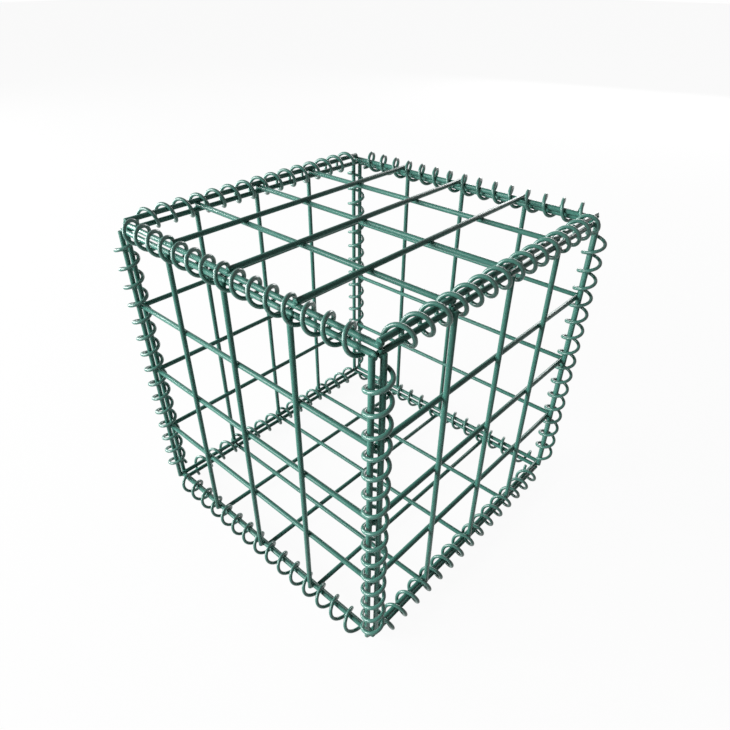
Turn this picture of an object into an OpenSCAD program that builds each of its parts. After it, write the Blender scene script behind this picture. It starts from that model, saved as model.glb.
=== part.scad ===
// Empty cube gabion basket of PVC-coated welded mesh.
// Six square mesh panels are bound along all twelve edges by right-handed wire spirals.
// Millimetres, +Z up. The origin is the centre of the base, on the ground.

/* [Mesh panels] */
// Pitch of the mesh, from wire centre to wire centre
mesh_pitch = 75; // [65:5:100]
// Cells along each side of a panel
cells = 4; // [2:1:6]
// Diameter of the mesh wire over its PVC coat
wire_d = 4.7; // [3.5:0.1:5]
// Depth to which two coated wires sink into each other at a weld
weld_depth = 1.2; // [0.6:0.1:1.6]
// Length of wire end past the centre line of the edge wire
end_overhang = 1; // [0.5:0.1:1.5]
// Sides of a wire's section
wire_sides = 8; // [8, 12]

/* [Binding spirals] */
// Diameter of the spiral wire over its PVC coat
spiral_wire_d = 3.4; // [2.5:0.1:3.8]
// Turns of a spiral in each mesh cell
turns_per_cell = 4; // [3:1:4]
// Play of the widest pair of edge wires inside its spiral
spiral_play = 0.6; // [0.2:0.1:3]

/* [Assembly] */
// Clearance between pieces that bear on each other
seat_gap = 0.3; // [0.2:0.05:0.4]

/* [Finish] */
// Colour of the coated mesh wire
mesh_colour = "#2c7a69"; // ["#2c7a69":Sea green, "#8d9396":Zinc grey, "#23282b":Black]
// Colour of the coated spiral wire
spiral_colour = "#3f8f7d"; // ["#3f8f7d":Sea green, "#9aa0a3":Zinc grey, "#2b3134":Black]

/* [Hidden] */

// Mesh panel: half the distance between its edge wires, and the spacing of its two wire layers
half_side = cells * mesh_pitch / 2;
layer_step = wire_d - weld_depth;
wire_length = 2 * (half_side + end_overhang);
// A section with flats wire_d apart, and the radius of its corners
corner_r = wire_d / 2 / cos(180 / wire_sides);

// Distances of the wire layers from the basket's centre
wall_lap = end_overhang + seat_gap + wire_d / 2;
end_wall_uprights = half_side + wall_lap + layer_step;
end_wall_rails = half_side + wall_lap;
side_wall_uprights = half_side + wall_lap;
side_wall_rails = half_side + wall_lap - layer_step;
cover_inner = half_side + wire_d + seat_gap;
cover_outer = cover_inner + layer_step;

// The pair of wires that each spiral binds, as two distances outwards from the basket's centre:
// uprights pair on x and y, and the rails of an end or side wall pair with a cover's edge wire
corner_pair = [[side_wall_uprights, half_side], [half_side, end_wall_uprights]];
end_pair = [[end_wall_rails, half_side], [half_side, cover_inner]];
side_pair = [[side_wall_rails, half_side], [half_side, cover_outer]];

// Spiral: the widest pair of wires just passes through it
widest_pair = max([for (pair = [corner_pair, end_pair, side_pair]) norm(pair[0] - pair[1])]);
spiral_id = widest_pair + 2 * (corner_r + seat_gap) + spiral_play;
coil_r = (spiral_id + spiral_wire_d) / 2;
coil_pitch = mesh_pitch / turns_per_cell;
coil_turns = turns_per_cell * cells - 1;

// A spiral is a chain of quarter-circle arcs. Each begins on the tangent where the last one ends,
// turned about that tangent by coil_twist, so that the joints lie on a true helix.
// arc_turn is the turn of one arc about the spiral's axis, found by repetition.
function arc_lean(turn) = atan(coil_pitch * turn / 360 / (2 * coil_r * sin(turn / 2)));
function settled_turn(turn, rounds) =
    rounds == 0 ? turn : settled_turn(2 * atan(1 / cos(arc_lean(turn))), rounds - 1);
arc_turn = settled_turn(90, 12);
arc_rise = coil_pitch * arc_turn / 360;
arc_tilt = arc_lean(arc_turn);
arc_r = coil_r * sin(arc_turn / 2) / cos(arc_tilt) / sin(45);
arc_centre = coil_r * cos(arc_turn / 2) - arc_r * cos(45);
coil_twist = acos(pow(sin(arc_tilt), 2) * cos(arc_turn) + pow(cos(arc_tilt), 2));
arc_step = [
    [0, -1, 0, -arc_r],
    [cos(coil_twist), 0, sin(coil_twist), arc_r],
    [-sin(coil_twist), 0, cos(coil_twist), 0],
    [0, 0, 0, 1]
];
coil_arcs = floor(coil_turns * 360 / arc_turn);
// Furthest that a turn reaches from the spiral's axis
coil_reach = arc_centre + arc_r + spiral_wire_d / 2;

// Each spiral is drawn outwards until both wires of its pair bear on the inside of its turns
bearing_r = spiral_id / 2 - corner_r - seat_gap;
function coil_centre(pair) =
    let (across = pair[0] - pair[1], spread = norm(across))
    (pair[0] + pair[1]) / 2
        + [-across[1], across[0]] / spread * sqrt(pow(bearing_r, 2) - pow(spread / 2, 2));
corner_coil = coil_centre(corner_pair);
end_coil = coil_centre(end_pair);
side_coil = coil_centre(side_pair);

// Height of the basket's centre above the ground, where the lowest spirals rest
centre_height = max(end_coil[1], side_coil[1]) + coil_reach;

// A straight mesh wire along Z
module mesh_wire() {
    rotate([0, 0, 180 / wire_sides])
        cylinder(r = corner_r, h = wire_length, center = true, $fn = wire_sides);
}

// A welded panel in the XY plane: the wires along Y lie outside, those along X one layer below
module mesh_panel() {
    color(mesh_colour)
        for (i = [0 : cells]) {
            place = i * mesh_pitch - half_side;
            translate([place, 0, 0]) rotate([90, 0, 0]) mesh_wire();
            translate([0, place, -layer_step]) rotate([0, 90, 0]) mesh_wire();
        }
}

// A wall with upright outer wires, facing -Y when turned by 0 degrees
module wall(turn, uprights) {
    translate([0, 0, centre_height])
        rotate([0, 0, turn]) translate([0, -uprights, 0]) rotate([90, 0, 0]) mesh_panel();
}

// A cover, facing up when flip is 0 and down when it is 180
module cover(flip) {
    translate([0, 0, centre_height])
        rotate([flip, 0, 0]) translate([0, 0, cover_outer]) mesh_panel();
}

// Moves its children on along the spiral by a number of arcs
module along_coil(arcs) {
    if (arcs > 0)
        multmatrix(arc_step) along_coil(arcs - 1) children();
    else
        children();
}

// A chain of arcs that begins at the origin, heading along Y
module coil() {
    for (k = [0 : coil_arcs - 1])
        along_coil(k)
            translate([-arc_r, 0, 0])
                rotate_extrude(angle = 90, $fn = 48)
                    translate([arc_r, 0]) circle(d = spiral_wire_d, $fn = 24);
}

// A right-handed spiral along Z, whose turns pass each cross wire on the side that outwards points to
module spiral(outwards) {
    mid_turn = outwards + 180 * turns_per_cell * cells;
    first_arc = (1 - coil_arcs) / 2;
    color(spiral_colour)
        translate([0, 0, first_arc * arc_rise])
            rotate([0, 0, mid_turn + first_arc * arc_turn])
                rotate([arc_tilt, 0, 0])
                    translate([arc_centre, 0, 0])
                        rotate([0, 0, -45])
                            translate([arc_r, 0, 0]) coil();
}

// An upright spiral at a corner; x and y are 1 or -1
module corner_spiral(x, y) {
    translate([x * corner_coil[0], y * corner_coil[1], centre_height])
        spiral(atan2(y, x));
}

// A spiral along X where an end wall meets a cover; y and z are 1 or -1
module end_spiral(y, z) {
    translate([0, y * end_coil[0], centre_height + z * end_coil[1]])
        rotate([0, 90, 0]) spiral(atan2(y, -z));
}

// A spiral along Y where a side wall meets a cover; x and z are 1 or -1
module side_spiral(x, z) {
    translate([x * side_coil[0], 0, centre_height + z * side_coil[1]])
        rotate([-90, 0, 0]) spiral(atan2(-z, x));
}

module front_panel() { wall(0, end_wall_uprights); }
module right_panel() { wall(90, side_wall_uprights); }
module back_panel() { wall(180, end_wall_uprights); }
module left_panel() { wall(270, side_wall_uprights); }
module lid_panel() { cover(0); }
module base_panel() { cover(180); }
module lid_front_spiral() { end_spiral(-1, 1); }
module lid_right_spiral() { side_spiral(1, 1); }
module lid_back_spiral() { end_spiral(1, 1); }
module lid_left_spiral() { side_spiral(-1, 1); }
module base_front_spiral() { end_spiral(-1, -1); }
module base_right_spiral() { side_spiral(1, -1); }
module base_back_spiral() { end_spiral(1, -1); }
module base_left_spiral() { side_spiral(-1, -1); }
module front_left_corner_spiral() { corner_spiral(-1, -1); }
module front_right_corner_spiral() { corner_spiral(1, -1); }
module back_left_corner_spiral() { corner_spiral(-1, 1); }
module back_right_corner_spiral() { corner_spiral(1, 1); }

front_panel();
right_panel();
back_panel();
left_panel();
lid_panel();
base_panel();
lid_front_spiral();
lid_right_spiral();
lid_back_spiral();
lid_left_spiral();
base_front_spiral();
base_right_spiral();
base_back_spiral();
base_left_spiral();
front_left_corner_spiral();
front_right_corner_spiral();
back_left_corner_spiral();
back_right_corner_spiral();
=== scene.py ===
"""Looks of an empty gabion basket: round welded wires, helical binding spirals and glossy PVC coats.

Lengths are in metres, and sizes known in millimetres are written as a number times MM. The frame gives every
place: a panel's wires and a spiral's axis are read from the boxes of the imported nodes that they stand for.
"""

import logging
import math
from dataclasses import dataclass
from enum import Enum

import bmesh
import bpy
from mathutils import Matrix, Vector

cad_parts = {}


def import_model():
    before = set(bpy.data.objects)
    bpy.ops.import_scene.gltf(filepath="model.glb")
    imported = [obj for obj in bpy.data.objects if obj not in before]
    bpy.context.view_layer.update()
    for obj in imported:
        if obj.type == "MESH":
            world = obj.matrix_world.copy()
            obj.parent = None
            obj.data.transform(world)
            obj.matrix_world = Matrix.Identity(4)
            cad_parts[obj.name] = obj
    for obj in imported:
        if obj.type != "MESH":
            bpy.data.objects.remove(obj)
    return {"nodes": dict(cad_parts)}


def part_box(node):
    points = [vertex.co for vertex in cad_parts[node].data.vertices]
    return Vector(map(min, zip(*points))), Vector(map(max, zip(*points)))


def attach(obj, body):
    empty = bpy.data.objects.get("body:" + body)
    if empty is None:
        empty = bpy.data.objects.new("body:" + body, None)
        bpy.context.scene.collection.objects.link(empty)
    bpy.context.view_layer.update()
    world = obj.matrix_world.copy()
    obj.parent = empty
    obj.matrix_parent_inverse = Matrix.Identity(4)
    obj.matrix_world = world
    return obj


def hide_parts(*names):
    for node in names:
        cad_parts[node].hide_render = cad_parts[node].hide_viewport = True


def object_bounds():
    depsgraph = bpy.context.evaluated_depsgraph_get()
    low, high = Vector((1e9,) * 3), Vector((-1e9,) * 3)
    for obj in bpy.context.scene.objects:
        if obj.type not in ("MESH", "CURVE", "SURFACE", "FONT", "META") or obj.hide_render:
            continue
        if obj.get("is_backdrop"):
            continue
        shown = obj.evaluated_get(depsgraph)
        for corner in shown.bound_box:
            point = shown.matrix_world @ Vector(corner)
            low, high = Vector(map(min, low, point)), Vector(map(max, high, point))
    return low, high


LOG = logging.getLogger("gabion_basket")
MM = 0.001
BODY = "root"
# Side of the square picture that the camera is set for
IMAGE_SIDE_PX = 730
# Edges that turn by more than this stay sharp
SHARP_EDGE = math.radians(35)
WHITE = "#ffffff"
# A mix node has sockets of the same name for each kind of value, so those for colours go by number
MIX_FIRST = 6
MIX_SECOND = 7
MIX_RESULT = 2

# The edges round a wire, and a piece's materials: the coat, then the bare core
Ring = list[bmesh.types.BMEdge]
Finish = list[bpy.types.Material]


class Axis(Enum):
    """A direction of the basket's own frame, by its index."""

    X = 0
    Y = 1
    Z = 2

    @property
    def vector(self) -> Vector:
        """The unit vector along this axis."""
        return Vector([1.0 if index == self.value else 0.0 for index in range(3)])

    @property
    def turn_from_z(self) -> Matrix:
        """The rotation that lays a shape along Z along this axis."""
        return self.vector.to_track_quat("Z", "Y").to_matrix().to_4x4()


class Slot(Enum):
    """The record's material slots."""

    MESH_WIRE = "mesh_wire"
    SPIRAL_WIRE = "spiral_wire"


def linear(hex_colour: str) -> tuple[float, float, float, float]:
    """Turns an sRGB colour into the linear one that shaders take.

    Args:
        hex_colour: Six hex digits after a hash sign.

    Returns:
        Linear red, green, blue and an alpha of 1.
    """
    shares = [int(hex_colour[i : i + 2], 16) / 255 for i in (1, 3, 5)]
    red, green, blue = [s / 12.92 if s <= 0.04045 else ((s + 0.055) / 1.055) ** 2.4 for s in shares]
    return red, green, blue, 1.0


def per_metre(size_mm: float) -> float:
    """The scale of a pattern whose features are size_mm across."""
    return 1 / (size_mm * MM)


def add_node(
    tree: bpy.types.NodeTree, kind: str, settings: dict[str, str], inputs: dict[str | int, object]
) -> bpy.types.Node:
    """Adds a node, sets it up and links it.

    Args:
        tree: The node tree that it joins.
        kind: The node's type, such as ShaderNodeMix.
        settings: Attributes of the node and their values.
        inputs: Input names or numbers, each with a value or the output socket that feeds it.

    Returns:
        The new node.
    """
    node = tree.nodes.new(kind)
    for name, value in settings.items():
        setattr(node, name, value)
    for key, value in inputs.items():
        if isinstance(value, bpy.types.NodeSocket):
            tree.links.new(value, node.inputs[key])
        else:
            node.inputs[key].default_value = value
    return node


def blank_material(name: str) -> bpy.types.Material:
    """Makes a material whose node tree is empty.

    Args:
        name: The material's name.

    Returns:
        The new material.
    """
    made = bpy.data.materials.new(name)
    made.use_nodes = True
    made.node_tree.nodes.clear()
    return made


def background_rays(tree: bpy.types.NodeTree) -> bpy.types.NodeSocket:
    """Picks out the rays that show the background, in the picture or in a reflection.

    Args:
        tree: The node tree that needs them.

    Returns:
        A value of 1 for those rays and 0 for all others.
    """
    path = add_node(tree, "ShaderNodeLightPath", {}, {})
    seen = path.outputs["Is Camera Ray"]
    for kind in ("Is Glossy Ray", "Is Transmission Ray"):
        either = add_node(tree, "ShaderNodeMath", {"operation": "MAXIMUM"}, {0: seen, 1: path.outputs[kind]})
        seen = either.outputs[0]
    return seen


@dataclass(frozen=True)
class PvcCoat:
    """Soft PVC fused onto steel wire: smooth and glossy, with a faint orange peel and a cloudy colour."""

    name: str
    colour: str
    deep_colour: str
    roughness: tuple[float, float]
    specular_level: float
    ior: float = 1.53
    cloud_mm: float = 22.0
    cloud_detail: float = 3.0
    cloud_grain: float = 0.55
    # The real peel is about 0.8 mm across, which is finer than a pixel, so it is drawn coarser
    peel_mm: float = 2.2
    peel_detail: float = 2.0
    peel_depth_mm: float = 0.0025
    peel_strength: float = 0.6

    def material(self) -> bpy.types.Material:
        """Makes the coat's material.

        Returns:
            The new material.
        """
        made = blank_material(self.name)
        tree = made.node_tree
        place = add_node(tree, "ShaderNodeTexCoord", {}, {}).outputs["Object"]
        cloud = add_node(
            tree,
            "ShaderNodeTexNoise",
            {},
            {
                "Vector": place,
                "Scale": per_metre(self.cloud_mm),
                "Detail": self.cloud_detail,
                "Roughness": self.cloud_grain,
            },
        )
        colour = add_node(
            tree,
            "ShaderNodeMix",
            {"data_type": "RGBA"},
            {
                "Factor": cloud.outputs["Fac"],
                MIX_FIRST: linear(self.colour),
                MIX_SECOND: linear(self.deep_colour),
            },
        )
        peel = add_node(
            tree,
            "ShaderNodeTexNoise",
            {},
            {"Vector": place, "Scale": per_metre(self.peel_mm), "Detail": self.peel_detail},
        )
        gloss = add_node(
            tree,
            "ShaderNodeMapRange",
            {},
            {"Value": peel.outputs["Fac"], "To Min": self.roughness[0], "To Max": self.roughness[1]},
        )
        relief = add_node(
            tree,
            "ShaderNodeBump",
            {},
            {
                "Height": peel.outputs["Fac"],
                "Strength": self.peel_strength,
                "Distance": self.peel_depth_mm * MM,
            },
        )
        shader = add_node(
            tree,
            "ShaderNodeBsdfPrincipled",
            {},
            {
                "Base Color": colour.outputs[MIX_RESULT],
                "Roughness": gloss.outputs["Result"],
                "IOR": self.ior,
                "Specular IOR Level": self.specular_level,
                "Normal": relief.outputs["Normal"],
            },
        )
        add_node(tree, "ShaderNodeOutputMaterial", {}, {"Surface": shader.outputs["BSDF"]})
        return made


@dataclass(frozen=True)
class ShearedSteel:
    """Galvanised steel core, bare where the wire was sheared: dull grey, torn into fine streaks."""

    name: str = "sheared_galvanised_steel"
    colour: str = "#8f9494"
    dull_colour: str = "#5d6262"
    roughness: float = 0.45
    streak_mm: float = 0.7
    streak_detail: float = 2.0

    def material(self) -> bpy.types.Material:
        """Makes the bare steel's material.

        Returns:
            The new material.
        """
        made = blank_material(self.name)
        tree = made.node_tree
        place = add_node(tree, "ShaderNodeTexCoord", {}, {}).outputs["Object"]
        streaks = add_node(
            tree,
            "ShaderNodeTexNoise",
            {},
            {"Vector": place, "Scale": per_metre(self.streak_mm), "Detail": self.streak_detail},
        )
        colour = add_node(
            tree,
            "ShaderNodeMix",
            {"data_type": "RGBA"},
            {
                "Factor": streaks.outputs["Fac"],
                MIX_FIRST: linear(self.colour),
                MIX_SECOND: linear(self.dull_colour),
            },
        )
        shader = add_node(
            tree,
            "ShaderNodeBsdfPrincipled",
            {},
            {"Base Color": colour.outputs[MIX_RESULT], "Metallic": 1.0, "Roughness": self.roughness},
        )
        add_node(tree, "ShaderNodeOutputMaterial", {}, {"Surface": shader.outputs["BSDF"]})
        return made


@dataclass(frozen=True)
class PaintedBoard:
    """Board painted in matt off-white, which shows almost pure white and keeps a faint shadow."""

    name: str = "pale_matt_floor"
    colour: str = "#dcdcdc"
    # The eye gets this much pure white, and the rest from the lit board with the basket's shadow on it
    white_share: float = 0.95

    def material(self) -> bpy.types.Material:
        """Makes the board's material.

        Returns:
            The new material.
        """
        made = blank_material(self.name)
        tree = made.node_tree
        matt = add_node(tree, "ShaderNodeBsdfDiffuse", {}, {"Color": linear(self.colour)})
        white = add_node(tree, "ShaderNodeEmission", {}, {"Color": linear(WHITE), "Strength": 1.0})
        share = add_node(
            tree,
            "ShaderNodeMath",
            {"operation": "MULTIPLY"},
            {0: background_rays(tree), 1: self.white_share},
        )
        mixed = add_node(
            tree,
            "ShaderNodeMixShader",
            {},
            {0: share.outputs[0], 1: matt.outputs[0], 2: white.outputs[0]},
        )
        add_node(tree, "ShaderNodeOutputMaterial", {}, {"Surface": mixed.outputs[0]})
        return made


@dataclass(frozen=True)
class CoatedWire:
    """A round wire: a steel core inside a PVC coat, with cut ends."""

    diameter: float
    core_diameter: float
    sides: int
    tip_round: float = 0.3 * MM
    # The rounded tip, as shares of tip_round along the wire and in from its side
    tip_profile: tuple[tuple[float, float], ...] = ((0.6, 0.25), (1.0, 1.0))

    @property
    def radius(self) -> float:
        """Half the diameter over the coat."""
        return self.diameter / 2

    def ring(self, mesh: bmesh.types.BMesh, place: Matrix) -> Ring:
        """Adds the round section that a wire is drawn from.

        Args:
            mesh: The mesh that it joins.
            place: Where the section lies, with its Z along the wire.

        Returns:
            The edges of the section.
        """
        made = bmesh.ops.create_circle(mesh, segments=self.sides, radius=self.radius, matrix=place)
        return list({edge for vert in made["verts"] for edge in vert.link_edges})

    def grow(self, mesh: bmesh.types.BMesh, rim: Ring) -> tuple[list[bmesh.types.BMVert], Ring]:
        """Extrudes the open end of a wire, ready to be moved.

        Args:
            mesh: The mesh that holds the wire.
            rim: The edges round the open end.

        Returns:
            The vertices and the edges round the new end.
        """
        grown = bmesh.ops.extrude_edge_only(mesh, edges=rim)["geom"]
        verts = [item for item in grown if isinstance(item, bmesh.types.BMVert)]
        edges = [item for item in grown if isinstance(item, bmesh.types.BMEdge)]
        return verts, edges

    def close_end(self, mesh: bmesh.types.BMesh, rim: Ring, centre: Vector, outwards: Vector) -> None:
        """Rounds the coat at a cut end and closes the end with the bare core.

        Args:
            mesh: The mesh that holds the wire.
            rim: The edges round the open end.
            centre: The middle of the open end.
            outwards: The unit direction out of the end.
        """
        tip = self.tip_round
        rings = [(along * tip, self.radius - inset * tip) for along, inset in self.tip_profile]
        rings.append((tip, self.core_diameter / 2))
        reach = 0.0
        width = self.radius
        for next_reach, next_width in rings:
            verts, rim = self.grow(mesh, rim)
            share = next_width / width
            middle = centre + outwards * reach
            bmesh.ops.scale(mesh, vec=(share,) * 3, space=Matrix.Translation(-middle), verts=verts)
            bmesh.ops.translate(mesh, vec=outwards * (next_reach - reach), verts=verts)
            reach = next_reach
            width = next_width
        bmesh.ops.contextual_create(mesh, geom=rim, mat_nr=1, use_smooth=False)


def finish_piece(
    mesh: bmesh.types.BMesh, name: str, node: str, finish: Finish
) -> bpy.types.Object:
    """Makes an object of a mesh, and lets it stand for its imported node.

    Args:
        mesh: The finished shape, which is freed.
        name: The piece's name.
        node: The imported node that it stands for.
        finish: The materials of the coat and the bare core, in that order.

    Returns:
        The new object, riding on its body.
    """
    bmesh.ops.recalc_face_normals(mesh, faces=mesh.faces)
    for face in mesh.faces:
        face.smooth = True
    for edge in mesh.edges:
        edge.smooth = edge.calc_face_angle(0.0) < SHARP_EDGE
    data = bpy.data.meshes.new(name)
    mesh.to_mesh(data)
    mesh.free()
    for material in finish:
        data.materials.append(material)
    piece = bpy.data.objects.new(name, data)
    bpy.context.scene.collection.objects.link(piece)
    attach(piece, BODY)
    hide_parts(node)
    return piece


@dataclass
class MeshPanel:
    """A square panel: two layers of straight wires, welded where they cross."""

    node: str
    # The axis across the panel, 1 or -1 for the way that it faces, and the run of its outer wires
    normal: Axis
    side: int
    outer: Axis
    wire: CoatedWire = CoatedWire(diameter=4.7 * MM, core_diameter=4.0 * MM, sides=20)
    cells: int = 4
    end_overhang: float = 1.0 * MM
    # How far the bead of coat at a weld reaches from the crossing, along the panel and off it
    weld_reach: float = 3.1 * MM
    weld_height: float = 1.7 * MM
    weld_segments: int = 16
    weld_rings: int = 10

    def build(self) -> bmesh.types.BMesh:
        """Models the panel's wires and the coat that fills the corners of its welds.

        Returns:
            The panel as closed shells.
        """
        low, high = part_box(self.node)
        centre = (low + high) / 2
        size = high - low
        offset = self.normal.vector * self.side * (size[self.normal.value] - self.wire.diameter) / 2
        inner = next(axis for axis in Axis if axis not in (self.normal, self.outer))
        layers = ((self.outer, inner, centre + offset), (inner, self.outer, centre - offset))
        mesh = bmesh.new()
        for along, across, middle in layers:
            length = size[along.value] - self.wire.diameter + 2 * self.end_overhang
            for place in self.places(size, across):
                self.add_wire(mesh, middle + across.vector * place, along, length)
        for first in self.places(size, self.outer):
            for second in self.places(size, inner):
                self.add_weld(mesh, centre + self.outer.vector * first + inner.vector * second)
        return mesh

    def places(self, size: Vector, across: Axis) -> list[float]:
        """Where the wires lie along an axis, from the panel's centre.

        Args:
            size: The size of the panel's box.
            across: The axis that the wires are spaced along.

        Returns:
            One distance for each wire.
        """
        span = size[across.value] - self.wire.diameter
        return [span * (i / self.cells - 0.5) for i in range(self.cells + 1)]

    def add_wire(self, mesh: bmesh.types.BMesh, middle: Vector, along: Axis, length: float) -> None:
        """Draws one straight wire with two cut ends.

        Args:
            mesh: The mesh that it joins.
            middle: The wire's midpoint.
            along: The axis that it runs along.
            length: Its length over both ends.
        """
        reach = along.vector * (length / 2 - self.wire.tip_round)
        first = self.wire.ring(mesh, Matrix.Translation(middle - reach) @ along.turn_from_z)
        verts, last = self.wire.grow(mesh, first)
        bmesh.ops.translate(mesh, vec=2 * reach, verts=verts)
        self.wire.close_end(mesh, first, middle - reach, -along.vector)
        self.wire.close_end(mesh, last, middle + reach, along.vector)

    def add_weld(self, mesh: bmesh.types.BMesh, crossing: Vector) -> None:
        """Fills the corners between two crossing wires with a bead of coat.

        Args:
            mesh: The mesh that it joins.
            crossing: The point midway between the two wires.
        """
        bead = Vector((self.weld_reach,) * 3)
        bead[self.normal.value] = self.weld_height
        bmesh.ops.create_uvsphere(
            mesh,
            u_segments=self.weld_segments,
            v_segments=self.weld_rings,
            radius=1.0,
            matrix=Matrix.Translation(crossing) @ Matrix.Diagonal(bead).to_4x4(),
        )

    def dress(self, mesh: bmesh.types.BMesh, finish: Finish) -> bpy.types.Object:
        """Turns the panel's mesh into its finished piece."""
        return finish_piece(mesh, f"{self.node}_mesh", self.node, finish)


@dataclass(frozen=True)
class Coil:
    """The right-handed winding of a spiral: along Z, centred on the origin, its middle turn on X."""

    radius: float
    length: float
    pitch: float
    wire: CoatedWire
    steps_per_turn: int = 30

    @property
    def lean(self) -> float:
        """The angle at which the wire climbs along the axis."""
        return math.atan2(self.pitch, math.tau * self.radius)

    def section(self, angle: float) -> Matrix:
        """The wire's section at an angle from mid-length.

        Args:
            angle: The turn about Z, in radians.

        Returns:
            A frame on the wire's centre line, with X outwards and Z along the wire.
        """
        outwards = Vector((math.cos(angle), math.sin(angle), 0.0))
        climb = Axis.Z.vector
        heading = climb.cross(outwards) * math.cos(self.lean) + climb * math.sin(self.lean)
        turn = Matrix((outwards, heading.cross(outwards), heading)).transposed().to_4x4()
        return Matrix.Translation(outwards * self.radius + climb * (self.pitch * angle / math.tau)) @ turn

    def wind(self) -> bmesh.types.BMesh:
        """Winds the coil from one cut end to the other.

        Returns:
            The coil as one closed shell.
        """
        turns = (self.length - self.wire.diameter * math.cos(self.lean)) / self.pitch
        steps = round(self.steps_per_turn * turns)
        start, end = [self.section(side * math.pi * turns) for side in (-1, 1)]
        mesh = bmesh.new()
        first = self.wire.ring(mesh, start)
        wound = bmesh.ops.spin(
            mesh,
            geom=list({vert for edge in first for vert in edge.verts}) + first,
            cent=Vector(),
            axis=Axis.Z.vector,
            dvec=Axis.Z.vector * (self.pitch * turns / steps),
            angle=math.tau * turns,
            steps=steps,
            use_merge=False,
            use_normal_flip=False,
            use_duplicate=False,
        )
        last = [item for item in wound["geom_last"] if isinstance(item, bmesh.types.BMEdge)]
        self.wire.close_end(mesh, first, start.to_translation(), -start.col[2].to_3d())
        self.wire.close_end(mesh, last, end.to_translation(), end.col[2].to_3d())
        return mesh


@dataclass
class BindingSpiral:
    """A wire spiral that binds the two edge wires of the panels that meet along an edge."""

    node: str
    along: Axis
    # From the basket's centre to the middle of the edge
    outwards: tuple[int, int, int]
    wire: CoatedWire = CoatedWire(diameter=3.4 * MM, core_diameter=2.7 * MM, sides=16)
    mesh_pitch: float = 75 * MM
    turns_per_cell: int = 4

    def coil(self) -> Coil:
        """Sizes the largest coil that fits the box of its node.

        Returns:
            The coil, not yet wound.
        """
        low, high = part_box(self.node)
        size = high - low
        width = min(size[axis.value] for axis in Axis if axis is not self.along)
        radius = (width - self.wire.diameter) / 2
        return Coil(radius, size[self.along.value], self.mesh_pitch / self.turns_per_cell, self.wire)

    def build(self, wound: bmesh.types.BMesh) -> bmesh.types.BMesh:
        """Lays a copy of the shared coil along its edge, with its middle turn outwards.

        Args:
            wound: The coil, as wound along Z.

        Returns:
            The spiral as one closed shell.
        """
        low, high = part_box(self.node)
        axis = self.along.vector
        outwards = Vector(self.outwards).normalized()
        turn = Matrix((outwards, axis.cross(outwards), axis)).transposed().to_4x4()
        mesh = wound.copy()
        bmesh.ops.transform(mesh, matrix=Matrix.Translation((low + high) / 2) @ turn, verts=mesh.verts)
        return mesh

    def dress(self, mesh: bmesh.types.BMesh, finish: Finish) -> bpy.types.Object:
        """Turns the spiral's mesh into its finished piece."""
        return finish_piece(mesh, f"{self.node}_wire", self.node, finish)


@dataclass
class Basket:
    """The whole basket: six panels and the twelve spirals that bind their edges."""

    # The mesh's coat reflects little of its white surroundings, so the shaded wires stay deep green
    mesh_coat: PvcCoat = PvcCoat(
        "pvc_coated_mesh_wire",
        colour="#3e7065",
        deep_colour="#346257",
        roughness=(0.27, 0.33),
        specular_level=0.16,
    )
    # The spirals' coat is glossier, so their turns catch pale highlights
    spiral_coat: PvcCoat = PvcCoat(
        "pvc_coated_spiral_wire",
        colour="#3e7065",
        deep_colour="#346257",
        roughness=(0.24, 0.3),
        specular_level=0.45,
    )
    core: ShearedSteel = ShearedSteel()

    def panels(self) -> list[MeshPanel]:
        """Lists the six panels.

        Returns:
            The panels, each with the axis that it faces and the axis of its outer wires.
        """
        return [
            MeshPanel("front_panel", Axis.Y, -1, Axis.Z),
            MeshPanel("right_panel", Axis.X, 1, Axis.Z),
            MeshPanel("back_panel", Axis.Y, 1, Axis.Z),
            MeshPanel("left_panel", Axis.X, -1, Axis.Z),
            MeshPanel("lid_panel", Axis.Z, 1, Axis.Y),
            MeshPanel("base_panel", Axis.Z, -1, Axis.Y),
        ]

    def spirals(self) -> list[BindingSpiral]:
        """Lists the twelve spirals.

        Returns:
            The spirals, named for the faces that meet along them.
        """
        made = []
        for cover, up in (("lid", 1), ("base", -1)):
            for face, sign in (("front", -1), ("back", 1)):
                made.append(BindingSpiral(f"{cover}_{face}_spiral", Axis.X, (0, sign, up)))
            for face, sign in (("left", -1), ("right", 1)):
                made.append(BindingSpiral(f"{cover}_{face}_spiral", Axis.Y, (sign, 0, up)))
        for end, y in (("front", -1), ("back", 1)):
            for face, x in (("left", -1), ("right", 1)):
                made.append(BindingSpiral(f"{end}_{face}_corner_spiral", Axis.Z, (x, y, 0)))
        return made

    def make(self) -> list[bpy.types.Object]:
        """Builds and dresses every piece. All spirals are copies of the tightest coil.

        Returns:
            The finished pieces.
        """
        core = self.core.material()
        mesh_finish = [self.mesh_coat.material(), core]
        spiral_finish = [self.spiral_coat.material(), core]
        spirals = self.spirals()
        wound = min((spiral.coil() for spiral in spirals), key=lambda coil: coil.radius).wind()
        pieces = [panel.dress(panel.build(), mesh_finish) for panel in self.panels()]
        pieces += [spiral.dress(spiral.build(wound), spiral_finish) for spiral in spirals]
        wound.free()
        return pieces


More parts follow.
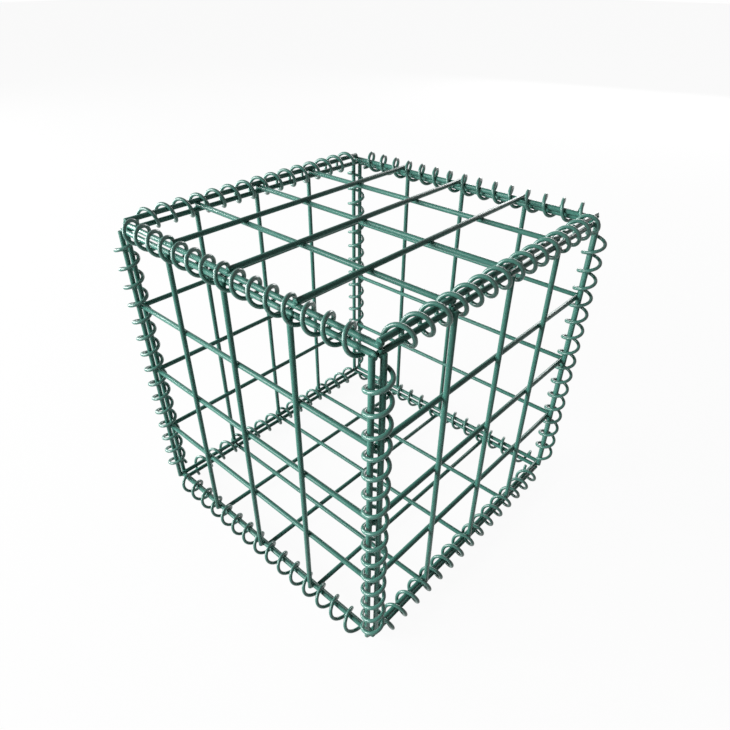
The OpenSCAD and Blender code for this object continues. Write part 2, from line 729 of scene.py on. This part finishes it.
@dataclass(frozen=True)
class SoftLamp:
    """A lamp with a broad rectangular face that points at the basket."""

    name: str
    # From the basket to the lamp
    towards: tuple[float, float, float]
    # Width and height of the lamp's face
    size: tuple[float, float]
    watts: float

    def hang(self, centre: Vector, distance: float) -> None:
        """Hangs the lamp.

        Args:
            centre: The basket's centre.
            distance: How far from it the lamp hangs.
        """
        data = bpy.data.lights.new(self.name, "AREA")
        data.shape = "RECTANGLE"
        data.size, data.size_y = self.size
        data.energy = self.watts
        lamp = bpy.data.objects.new(self.name, data)
        direction = Vector(self.towards).normalized()
        lamp.location = centre + direction * distance
        lamp.rotation_euler = direction.to_track_quat("Z", "Y").to_euler()
        bpy.context.scene.collection.objects.link(lamp)


@dataclass
class Studio:
    """The floor, the light and the camera round the basket."""

    centre: Vector
    floor: PaintedBoard = PaintedBoard()
    floor_half: float = 12.0
    backdrop_strength: float = 1.0
    fill_strength: float = 0.02
    lamp_distance: float = 3.0
    lamps: tuple[SoftLamp, ...] = (
        SoftLamp("key_light", (-0.5, -0.82, 0.28), (1.8, 1.8), 208.0),
        SoftLamp("left_light", (-0.96, -0.24, 0.14), (1.0, 1.0), 72.0),
        SoftLamp("back_light", (-0.25, 0.94, 0.22), (1.6, 1.2), 50.0),
    )
    azimuth_deg: float = 42.87
    elevation_deg: float = 35.67
    # From the basket's centre
    camera_place: tuple[float, float, float] = (344.9 * MM, -379.7 * MM, 343.3 * MM)
    focal_px: float = 582.1
    optical_axis_px: tuple[float, float] = (357.7, 382.9)
    sensor_width_mm: float = 36.0
    near_clip: float = 10 * MM

    def make(self) -> None:
        """Sets up the floor, the surroundings, the lamps and the camera."""
        self.add_floor()
        self.add_surroundings()
        for lamp in self.lamps:
            lamp.hang(self.centre, self.lamp_distance)
        self.add_camera()

    def add_floor(self) -> None:
        """Lays a pale floor that keeps the basket's shadow."""
        mesh = bmesh.new()
        bmesh.ops.create_grid(mesh, x_segments=1, y_segments=1, size=self.floor_half)
        data = bpy.data.meshes.new("floor")
        mesh.to_mesh(data)
        mesh.free()
        data.materials.append(self.floor.material())
        floor = bpy.data.objects.new("floor", data)
        bpy.context.scene.collection.objects.link(floor)
        floor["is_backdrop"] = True

    def add_surroundings(self) -> None:
        """Makes the backdrop white to the eye and a dim fill to the basket."""
        world = bpy.data.worlds.new("studio")
        bpy.context.scene.world = world
        world.use_nodes = True
        tree = world.node_tree
        tree.nodes.clear()
        fill, backdrop = [
            add_node(tree, "ShaderNodeBackground", {}, {"Color": linear(WHITE), "Strength": strength})
            for strength in (self.fill_strength, self.backdrop_strength)
        ]
        mixed = add_node(
            tree,
            "ShaderNodeMixShader",
            {},
            {0: background_rays(tree), 1: fill.outputs[0], 2: backdrop.outputs[0]},
        )
        add_node(tree, "ShaderNodeOutputWorld", {}, {"Surface": mixed.outputs[0]})

    def add_camera(self) -> None:
        """Sets the camera at the photograph's place, angle and framing."""
        data = bpy.data.cameras.new("camera")
        data.sensor_width = self.sensor_width_mm
        data.lens = self.sensor_width_mm * self.focal_px / IMAGE_SIDE_PX
        data.shift_x = 0.5 - self.optical_axis_px[0] / IMAGE_SIDE_PX
        data.shift_y = self.optical_axis_px[1] / IMAGE_SIDE_PX - 0.5
        data.clip_start = self.near_clip
        camera = bpy.data.objects.new("camera", data)
        azimuth = math.radians(self.azimuth_deg)
        elevation = math.radians(self.elevation_deg)
        level = math.cos(elevation)
        back = Vector((math.sin(azimuth) * level, -math.cos(azimuth) * level, math.sin(elevation)))
        camera.location = self.centre + Vector(self.camera_place)
        camera.rotation_euler = (-back).to_track_quat("-Z", "Y").to_euler()
        bpy.context.scene.collection.objects.link(camera)
        bpy.context.scene.camera = camera


def main() -> None:
    """Loads the frame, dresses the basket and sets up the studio."""
    logging.basicConfig(level=logging.INFO, format="%(message)s")
    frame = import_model()
    LOG.info("nodes in the frame: %d", len(frame["nodes"]))
    cad_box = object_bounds()
    for piece in Basket().make():
        LOG.info("%s: %d faces", piece.name, len(piece.data.polygons))
    Studio(centre=(cad_box[0] + cad_box[1]) / 2).make()
    bpy.context.scene.view_settings.view_transform = "Standard"
    bpy.context.view_layer.update()


if __name__ == "__main__":
    main()
